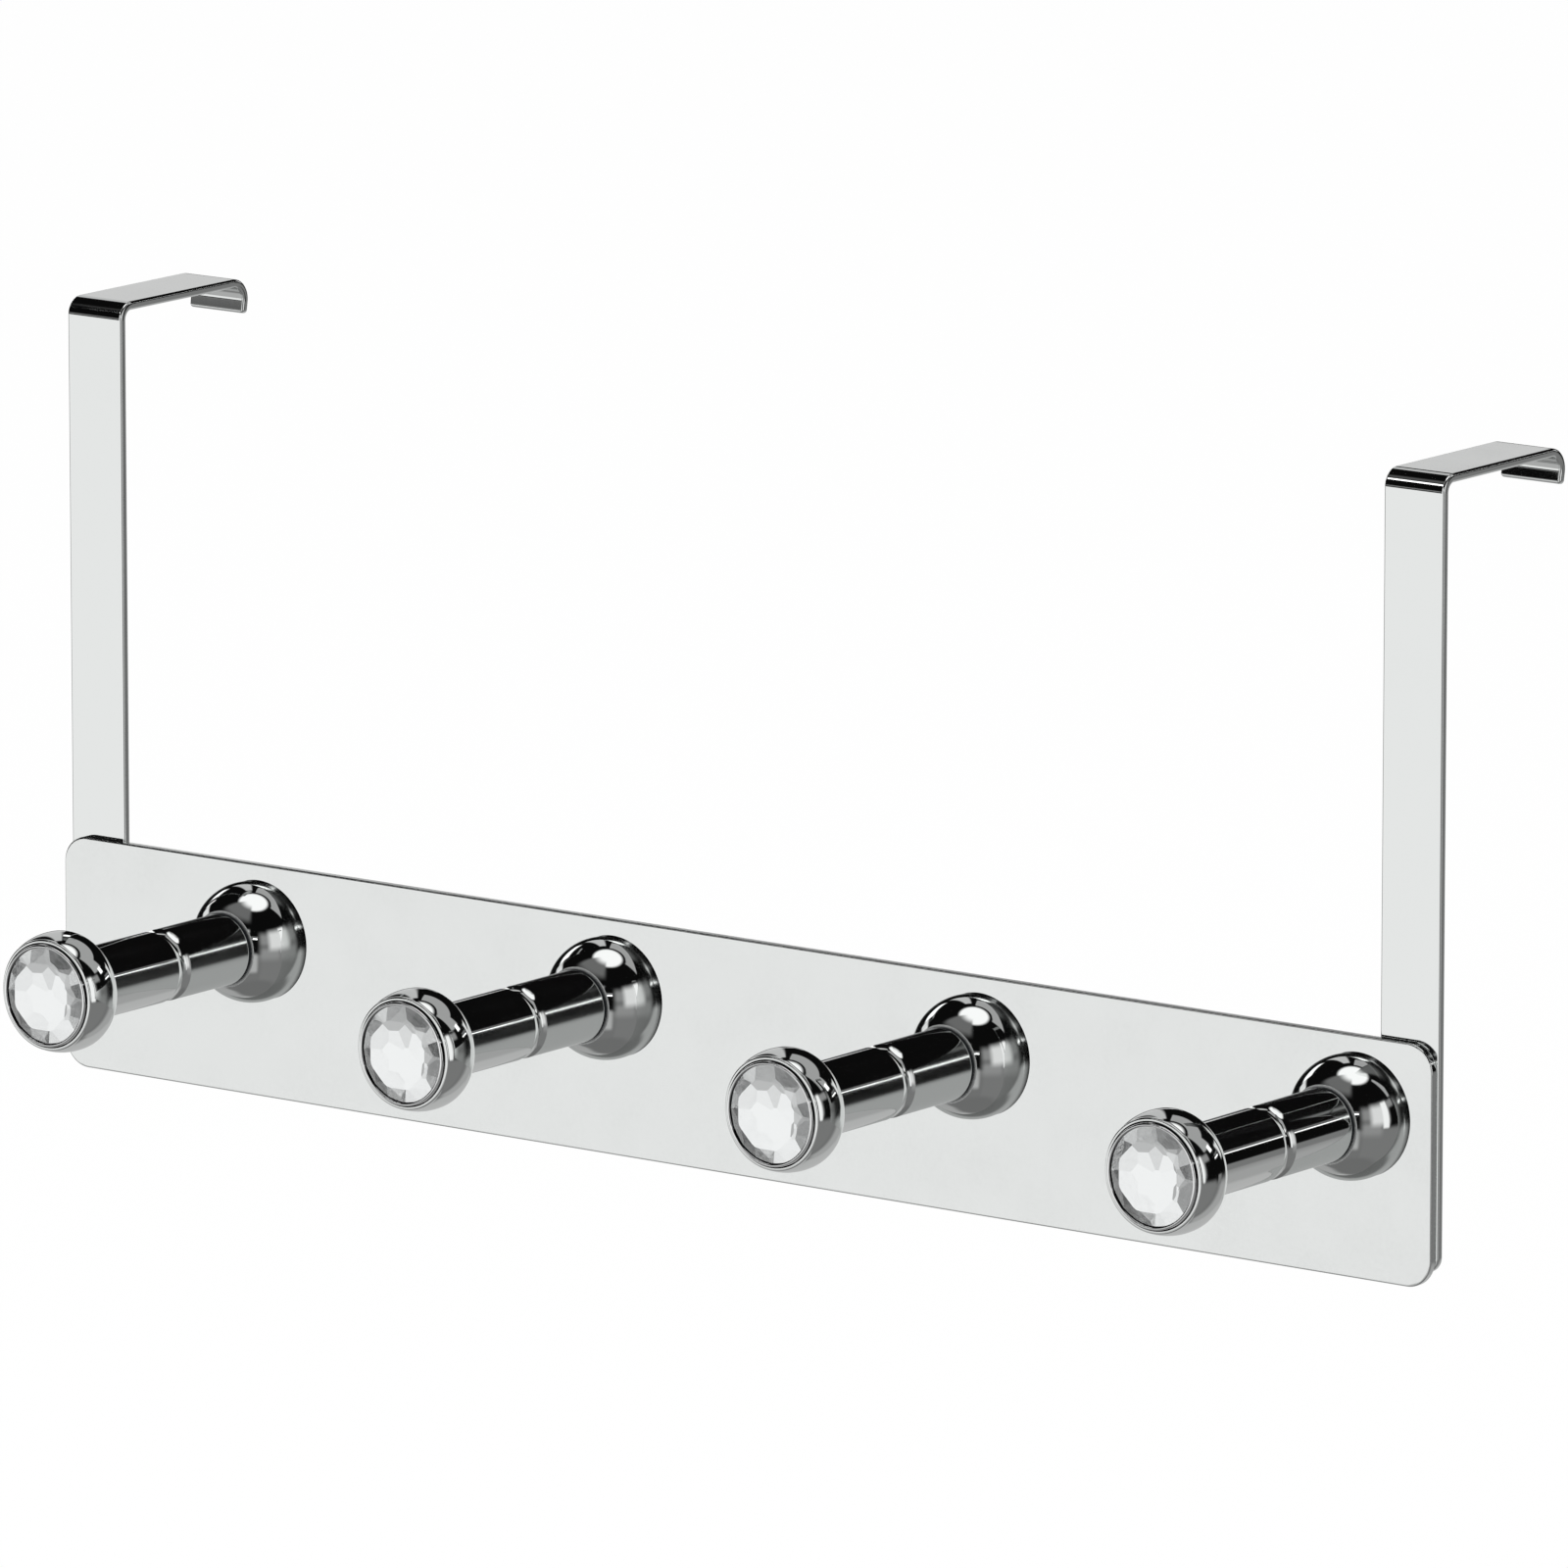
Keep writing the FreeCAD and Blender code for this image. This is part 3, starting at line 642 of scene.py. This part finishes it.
def cut_crystal(name, place, glass, silver):
    """One stone, ground from a round blank that fills its cup, its table looking ahead."""
    floor = cup_seat + CUP_FLOOR
    crown_foot = GIRDLE_FOOT + GIRDLE_HEIGHT
    stone = bmesh.new()
    bmesh.ops.create_cone(
        stone, cap_ends=True, segments=GIRDLE_STEPS, radius1=cup_inner, radius2=cup_inner,
        depth=TABLE_LEVEL - floor,
    )
    bmesh.ops.translate(stone, verts=stone.verts, vec=(0, 0, (TABLE_LEVEL + floor) / 2))
    table_flat = TABLE_RADIUS * math.cos(math.pi / MAIN_FLATS)
    grind(stone, (table_flat, TABLE_LEVEL), (cup_inner, crown_foot + CROWN_RISE), MAIN_FLATS, 0)
    grind(stone, (cup_inner - RIM_INSET, crown_foot + RIM_RISE), (cup_inner, crown_foot), RIM_FLATS, 1)
    grind(stone, (CULET_RADIUS, floor), (cup_inner, GIRDLE_FOOT), MAIN_FLATS, 1)
    grind(stone, (POINT_RADIUS, floor), (CULET_RADIUS, floor + POINT_RISE), MAIN_FLATS, 0)
    bmesh.ops.recalc_face_normals(stone, faces=stone.faces)
    for face in stone.faces:
        face.material_index = 1 if face.normal.z < SILVERED_FROM else 0
    for vertex in stone.verts:
        x, y, ahead = vertex.co
        vertex.co = place + Vector((x, -ahead, y))
    mesh = bpy.data.meshes.new(name)
    stone.to_mesh(mesh)
    stone.free()
    mesh.materials.append(glass)
    mesh.materials.append(silver)
    crystal = bpy.data.objects.new(name, mesh)
    bpy.context.scene.collection.objects.link(crystal)
    return crystal


# The pressing leaves the glass uneven by some 0.01 mm, in waves about 3 mm wide.
GLASS_WAVE = 3 * MM
GLASS_RELIEF = 0.01 * MM


def crystal_glass():
    """Lead-free crystal glass, pressed and fire-polished. It shows the silvered flats through its
    front, and its index sets how much they shift and glint."""
    material = bpy.data.materials.new("clear_crystal_glass")
    material.use_nodes = True
    tree = material.node_tree
    tree.nodes.clear()
    where = add_node(tree, "ShaderNodeTexCoord")
    waves = add_node(tree, "ShaderNodeTexNoise", {
        "Vector": where.outputs["Object"], "Scale": 1 / GLASS_WAVE, "Detail": 1.0,
    })
    bump = add_node(tree, "ShaderNodeBump", {
        "Height": waves.outputs["Fac"], "Strength": 1.0, "Distance": GLASS_RELIEF,
    })
    clear = add_node(tree, "ShaderNodeBsdfPrincipled", {
        "Base Color": linear("#FBFDFD"), "Roughness": 0.0, "IOR": 1.54,
        "Transmission Weight": 1.0, "Normal": bump.outputs["Normal"],
    })
    add_node(tree, "ShaderNodeOutputMaterial", {"Surface": clear.outputs["BSDF"]})
    return material


glass = crystal_glass()
# Silvered back: silver laid on the ground glass under a coat of lacquer, slightly uneven.
silver = plated_finish(
    "silvered_stone_back", "#F6F7F7", roughness=0.14, spread=0.04,
    grain=1.2 * MM, stretch=(1.0, 1.0, 1.0), relief=0.01 * MM,
)
for number, place in zip(PEG_NUMBERS, peg_places):
    crystal = cut_crystal(f"crystal_{number}", place, glass, silver)
    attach(crystal, "root")
    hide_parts(f"crystal_{number}")
    crystal.visible_glossy = False


# Four steel screws, headed and rolled from wire and zinc-plated, hold the pegs from behind. Only their
# low round heads with a cross slot show, on the plate's back.
SCREW_REACH = 21.5 * MM
SCREW_TIP = 0.5 * MM
HEAD_RADIUS = 3.5 * MM
HEAD_HEIGHT = 1.7 * MM
HEAD_EDGE = 0.6 * MM
HEAD_FLAT = 1.9 * MM
HEAD_CURVE = 2.6 * MM
SLOT_LENGTH = 4.2 * MM
SLOT_WIDTH = 1.1 * MM
SLOT_DEPTH = 1.0 * MM
# The slot's width at its floor, as a share of its width at the head's top.
SLOT_NARROWS = 0.85

# Zinc plate: a cool grey, duller than the chrome, with the grain of the headed wire drawn at 0.5 mm.
zinc_plate = plated_finish(
    "zinc_plate_on_cold_headed_steel", "#C6C9CC", roughness=0.28, spread=0.06,
    grain=0.5 * MM, stretch=(1.0, 1.0, 1.0), relief=0.002 * MM,
)
plate_back = plate_low.y - plate_high.y
head_top = plate_back - HEAD_HEIGHT
screw_section = [
    (0.0, head_top),
    (HEAD_FLAT, head_top),
    *arc((HEAD_FLAT, head_top), (HEAD_RADIUS, plate_back - HEAD_EDGE), -HEAD_CURVE, steps=10),
    (HEAD_RADIUS, plate_back),
    (BORE_RADIUS, plate_back),
    (BORE_RADIUS, SCREW_REACH - SCREW_TIP),
    (BORE_RADIUS - SCREW_TIP, SCREW_REACH),
    (0.0, SCREW_REACH),
]


def cross_slot():
    """The tool that presses the cross into a screw's head: one solid cross that narrows with depth."""
    arm, half = SLOT_LENGTH / 2, SLOT_WIDTH / 2
    quarter = ((arm, half), (half, half), (half, arm))
    corners = []
    for turn in range(4):
        corners += quarter
        quarter = [(-z, x) for x, z in quarter]
    tool = bmesh.new()
    ends = ((head_top - SLOT_DEPTH, 2 - SLOT_NARROWS), (head_top + SLOT_DEPTH, SLOT_NARROWS))
    mouth, deep = (
        [tool.verts.new((x * share, -ahead, z * share)) for x, z in corners] for ahead, share in ends
    )
    tool.faces.new(mouth)
    tool.faces.new(deep)
    for index in range(len(corners)):
        tool.faces.new((mouth[index - 1], mouth[index], deep[index], deep[index - 1]))
    tool.normal_update()
    bmesh.ops.recalc_face_normals(tool, faces=tool.faces)
    mesh = bpy.data.meshes.new("cross_slot")
    tool.to_mesh(mesh)
    tool.free()
    return bpy.data.objects.new("cross_slot", mesh)


def row_tree():
    """Geometry Nodes that stand copies of one piece at even steps along X."""
    tree = bpy.data.node_groups.new("row_of_screws", "GeometryNodeTree")
    tree.interface.new_socket("Screw", in_out="INPUT", socket_type="NodeSocketGeometry")
    tree.interface.new_socket("Count", in_out="INPUT", socket_type="NodeSocketInt")
    tree.interface.new_socket("First", in_out="INPUT", socket_type="NodeSocketVector")
    tree.interface.new_socket("Pitch", in_out="INPUT", socket_type="NodeSocketVector")
    tree.interface.new_socket("Finish", in_out="INPUT", socket_type="NodeSocketMaterial")
    tree.interface.new_socket("Row", in_out="OUTPUT", socket_type="NodeSocketGeometry")
    given = add_node(tree, "NodeGroupInput").outputs
    line = add_node(tree, "GeometryNodeMeshLine", {
        "Count": given["Count"], "Start Location": given["First"], "Offset": given["Pitch"],
    })
    copies = add_node(tree, "GeometryNodeInstanceOnPoints", {
        "Points": line.outputs["Mesh"], "Instance": given["Screw"],
    })
    real = add_node(tree, "GeometryNodeRealizeInstances", {"Geometry": copies.outputs["Instances"]})
    done = add_node(tree, "GeometryNodeSetMaterial", {
        "Geometry": real.outputs[0], "Material": given["Finish"],
    })
    add_node(tree, "NodeGroupOutput", {"Row": done.outputs[0]})
    return tree


screws = turned_piece("peg_screws", screw_section, Vector((0, 0, 0)), zinc_plate)
slot_tool = cross_slot()
bpy.context.scene.collection.objects.link(slot_tool)
pressed = screws.modifiers.new("cross_slot", "BOOLEAN")
pressed.operation = "DIFFERENCE"
pressed.object = slot_tool
feed(
    screws, row_tree(), count=len(peg_places), first=peg_places[0],
    pitch=peg_places[1] - peg_places[0], finish=zinc_plate,
)
settle(screws)
bpy.data.objects.remove(slot_tool)
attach(screws, "root")
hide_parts("peg_screws")
screws.visible_glossy = False


# The studio: a white floor and white surroundings for the camera. The chrome shows a dark room with grey
# floors and walls, a few bright panels and strips of light, as polished metal is lit for a catalogue.
FLOOR_DROP = 0.5
FLOOR_SIZE = 60.0
FLOOR_GLOW = 0.95
WHITE = linear("#FFFFFF")

floor_mesh = bpy.data.meshes.new("floor")
reach = FLOOR_SIZE / 2
floor_level = plate_low.z - FLOOR_DROP
floor_mesh.from_pydata(
    [(x, y, floor_level) for x, y in ((-reach, -reach), (reach, -reach), (reach, reach), (-reach, reach))],
    [], [(0, 1, 2, 3)],
)
floor = bpy.data.objects.new("floor", floor_mesh)
bpy.context.scene.collection.objects.link(floor)
floor.visible_glossy = False
floor.visible_transmission = False
floor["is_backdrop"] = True


def floor_paint():
    """Matt white paint. To the camera nearly all of its light is its own, so that the ground stays white
    and holds only a breath of the rack's shadow. It isn't drawn from below."""
    material = bpy.data.materials.new("matt_white_floor")
    material.use_nodes = True
    tree = material.node_tree
    tree.nodes.clear()
    ray = add_node(tree, "ShaderNodeLightPath")
    matt = add_node(tree, "ShaderNodeBsdfDiffuse", {"Color": linear("#E8E8E8")})
    glow = add_node(tree, "ShaderNodeEmission", {"Color": WHITE, "Strength": 1.0})
    share = add_node(tree, "ShaderNodeMath", {
        0: ray.outputs["Is Camera Ray"], 1: FLOOR_GLOW,
    }, operation="MULTIPLY")
    top = add_node(tree, "ShaderNodeMixShader", {
        0: share.outputs["Value"], 1: matt.outputs["BSDF"], 2: glow.outputs["Emission"],
    })
    side = add_node(tree, "ShaderNodeNewGeometry")
    clear = add_node(tree, "ShaderNodeBsdfTransparent")
    both = add_node(tree, "ShaderNodeMixShader", {
        0: side.outputs["Backfacing"], 1: top.outputs["Shader"], 2: clear.outputs["BSDF"],
    })
    add_node(tree, "ShaderNodeOutputMaterial", {"Surface": both.outputs["Shader"]})
    return material


floor_mesh.materials.append(floor_paint())

# Each card: azimuth of its middle (0 in front of the rack, 90 to its right, 180 behind), its width,
# elevation of its middle, its height, the softness of its edge, all in degrees, and its brightness.
STUDIO_CARDS = (
    ("floor", 0, 400, -56, 84, 8, 0.20),
    ("floor on the right", 92, 84, -50, 76, 10, 0.22),
    ("floor behind on the right", 168, 44, -38, 52, 14, 0.42),
    ("floor behind on the left", -155, 70, -50, 80, 12, 0.52),
    ("floor on the left", -104, 36, -50, 80, 14, 0.42),
    ("floor in front", -18, 116, -30, 34, 10, 0.5),
    ("floor under the rack", 0, 400, -82, 34, 12, 0.18),
    ("floor in front, near the horizon", -23, 104, -11, 12, 3, 1.0),
    ("white wall in front", 2, 44, 4, 50, 6, 0.95),
    ("low wall in front on the left", -36, 30, 2.3, 4.4, 1.5, 0.23),
    ("floor on the right, near the horizon", 68, 44, -12, 22, 16, 0.32),
    ("side light low behind", 143, 9, -11, 10, 3, 0.22),
    ("reflector in front on the right", 58, 24, 12, 22, 14, 0.3),
    ("reflector on the right", 86, 40, 10, 32, 14, 0.85),
    ("window on the right", 99, 14, 8, 40, 5, 1.1),
    ("dim roof in front", -18, 84, 60, 30, 16, 0.17),
    ("strip light in front", 36, 9, 13.8, 2.2, 1.0, 3.0),
    ("strip light low behind", 143.5, 12, 13.8, 1.6, 1.0, 1.9),
    ("dim strip in front", 35, 14, 17.0, 2.4, 1.2, 0.20),
    ("dim strip behind", 145, 12, 17.0, 2.4, 1.2, 0.18),
    ("strip light in front on the left", -33, 27, 35.5, 6.5, 1.5, 2.2),
    ("light over the right", 115, 16, 22, 10, 5, 0.3),
    ("grey screen on the right behind", 132, 26, 46, 32, 3, 0.42),
    ("grey screen behind", 173, 75, 52.5, 20, 1.5, 0.42),
    ("lamp behind on the right", 137, 9, 28, 9, 2, 1.6),
    ("window behind on the right", 159, 12, 15, 16, 3, 0.9),
    ("wall behind on the left", -135, 12, 28, 56, 3, 0.6),
    ("ledge behind on the left", -143, 14, 9.9, 5.4, 1.2, 0.67),
    ("window on the left", -112, 22, 21, 12, 3, 1.4),
    ("panel on the left", -92, 16, 16, 10, 3, 0.9),
)
# The ceiling starts at the first elevation and has its full brightness from the second on.
CEILING = (65, 71, 1.2)
DARK = 0.004

# What shows through the crystals: a white room with a grey floor and wall, and round it the glints and
# dark patches that the stone's small flats catch.
STONE_CARDS = (
    ("white room", -21, 98, -6, 88, 6, 0.95),
    ("grey floor", -21, 98, -47, 34, 20, 0.5),
    ("grey wall", -68, 26, -8, 60, 14, 0.42),
)
GLINT_SCALE = 11.0
GLINT_SPAN = (0.44, 0.76)
GLINT_LIGHT = (0.03, 1.2)


def surroundings():
    """The studio's world: plain white to the camera and the floor, the studio's cards to the chrome, and
    the stone's own to light that has gone through glass."""
    world = bpy.data.worlds.new("studio")
    world.use_nodes = True
    tree = world.node_tree
    tree.nodes.clear()
    way = add_node(tree, "ShaderNodeTexCoord").outputs["Generated"]
    split = add_node(tree, "ShaderNodeSeparateXYZ", {"Vector": way})
    ahead = add_node(tree, "ShaderNodeMath", {0: split.outputs["Y"], 1: -1.0}, operation="MULTIPLY")
    turn = add_node(tree, "ShaderNodeMath", {
        0: split.outputs["X"], 1: ahead.outputs[0],
    }, operation="ARCTAN2")
    azimuth = add_node(tree, "ShaderNodeMath", {0: turn.outputs[0]}, operation="DEGREES").outputs[0]
    lift = add_node(tree, "ShaderNodeMath", {0: split.outputs["Z"]}, operation="ARCSINE")
    elevation = add_node(tree, "ShaderNodeMath", {0: lift.outputs[0]}, operation="DEGREES").outputs[0]

    def hang(cards, light):
        """The light of the surroundings with the cards hung in front of it, each over those before."""
        for name, middle, width, level, height, edge, strength in cards:
            aside = add_node(tree, "ShaderNodeMath", {0: azimuth, 1: middle}, operation="SUBTRACT")
            aside = add_node(tree, "ShaderNodeMath", {
                0: aside.outputs[0], 1: 180.0, 2: -180.0,
            }, operation="WRAP")
            above = add_node(tree, "ShaderNodeMath", {0: elevation, 1: level}, operation="SUBTRACT")
            shares = []
            for offset, size in ((aside, width), (above, height)):
                apart = add_node(tree, "ShaderNodeMath", {0: offset.outputs[0]}, operation="ABSOLUTE")
                covered = add_node(tree, "ShaderNodeMapRange", {
                    "Value": apart.outputs[0], "From Min": (size + edge) / 2, "From Max": (size - edge) / 2,
                }, interpolation_type="SMOOTHSTEP")
                shares.append(covered.outputs["Result"])
            share = add_node(tree, "ShaderNodeMath", {0: shares[0], 1: shares[1]}, operation="MULTIPLY")
            light = add_node(tree, "ShaderNodeMix", {
                "Factor": share.outputs[0], "A": light, "B": strength,
            }, data_type="FLOAT").outputs["Result"]
        return light

    start, end, bright = CEILING
    roof = add_node(tree, "ShaderNodeMapRange", {
        "Value": elevation, "From Min": start, "From Max": end,
    }, interpolation_type="SMOOTHSTEP")
    bare_room = add_node(tree, "ShaderNodeMath", {
        0: roof.outputs["Result"], 1: bright, 2: DARK,
    }, operation="MULTIPLY_ADD")
    mirrored = hang(STUDIO_CARDS, bare_room.outputs[0])
    glints = add_node(tree, "ShaderNodeTexVoronoi", {"Vector": way, "Scale": GLINT_SCALE})
    patches = add_node(tree, "ShaderNodeMapRange", {
        "Value": glints.outputs["Color"], "From Min": GLINT_SPAN[0], "From Max": GLINT_SPAN[1],
        "To Min": GLINT_LIGHT[0], "To Max": GLINT_LIGHT[1],
    })
    through = hang(STONE_CARDS, patches.outputs["Result"])
    ray = add_node(tree, "ShaderNodeLightPath")
    outside = add_node(tree, "ShaderNodeMix", {
        "Factor": ray.outputs["Is Glossy Ray"], "A": 1.0, "B": mirrored,
    }, data_type="FLOAT")
    in_glass = add_node(tree, "ShaderNodeMath", {
        0: ray.outputs["Transmission Depth"], 1: 0.5,
    }, operation="GREATER_THAN")
    strength = add_node(tree, "ShaderNodeMix", {
        "Factor": in_glass.outputs[0], "A": outside.outputs["Result"], "B": through,
    }, data_type="FLOAT")
    shade = add_node(tree, "ShaderNodeBackground", {"Color": WHITE, "Strength": strength.outputs["Result"]})
    add_node(tree, "ShaderNodeOutputWorld", {"Surface": shade.outputs["Background"]})
    return world


bpy.context.scene.world = surroundings()
# The chrome's own mirrored rays find the cards, so nothing else has to look for them.
bpy.context.scene.world.cycles.sampling_method = "NONE"

# Soft boxes light the floor. What the chrome shows of them is in the surroundings above. Each is placed
# from the rack's middle and has its size, both in metres, and its power in watts.
LAMPS = (
    ("soft_box_left", (-1.4, -1.6, 1.8), 1.6, 45.0),
    ("soft_box_right", (1.9, -0.9, 1.5), 1.2, 25.0),
)
rack_middle = (cad_low + cad_high) / 2
for name, offset, size, power in LAMPS:
    lamp = bpy.data.lights.new(name, "AREA")
    lamp.size = size
    lamp.energy = power
    box = bpy.data.objects.new(name, lamp)
    bpy.context.scene.collection.objects.link(box)
    box.location = rack_middle + Vector(offset)
    box.rotation_euler = (-Vector(offset)).to_track_quat("-Z", "Y").to_euler()
    box.visible_glossy = False
    box.visible_transmission = False


# The camera stands well off on the rack's right and looks a little down, through a long lens.
CAMERA_AZIMUTH = math.radians(36.978)
CAMERA_ELEVATION = math.radians(11.347)
CAMERA_DISTANCE = 3414.3 * MM
CAMERA_AIM = Vector((189.2, -24.15, -82.1)) * MM
LENS_MM = 371.0
SENSOR_MM = 36.0

lens = bpy.data.cameras.new("camera")
lens.sensor_width = SENSOR_MM
lens.lens = LENS_MM
camera = bpy.data.objects.new("camera", lens)
bpy.context.scene.collection.objects.link(camera)
back = Vector((
    math.sin(CAMERA_AZIMUTH) * math.cos(CAMERA_ELEVATION),
    -math.cos(CAMERA_AZIMUTH) * math.cos(CAMERA_ELEVATION),
    math.sin(CAMERA_ELEVATION),
))
camera.location = CAMERA_AIM + back * CAMERA_DISTANCE
camera.rotation_euler = (-back).to_track_quat("-Z", "Y").to_euler()
bpy.context.scene.camera = camera
bpy.context.scene.view_settings.view_transform = "Standard"

low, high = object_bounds()
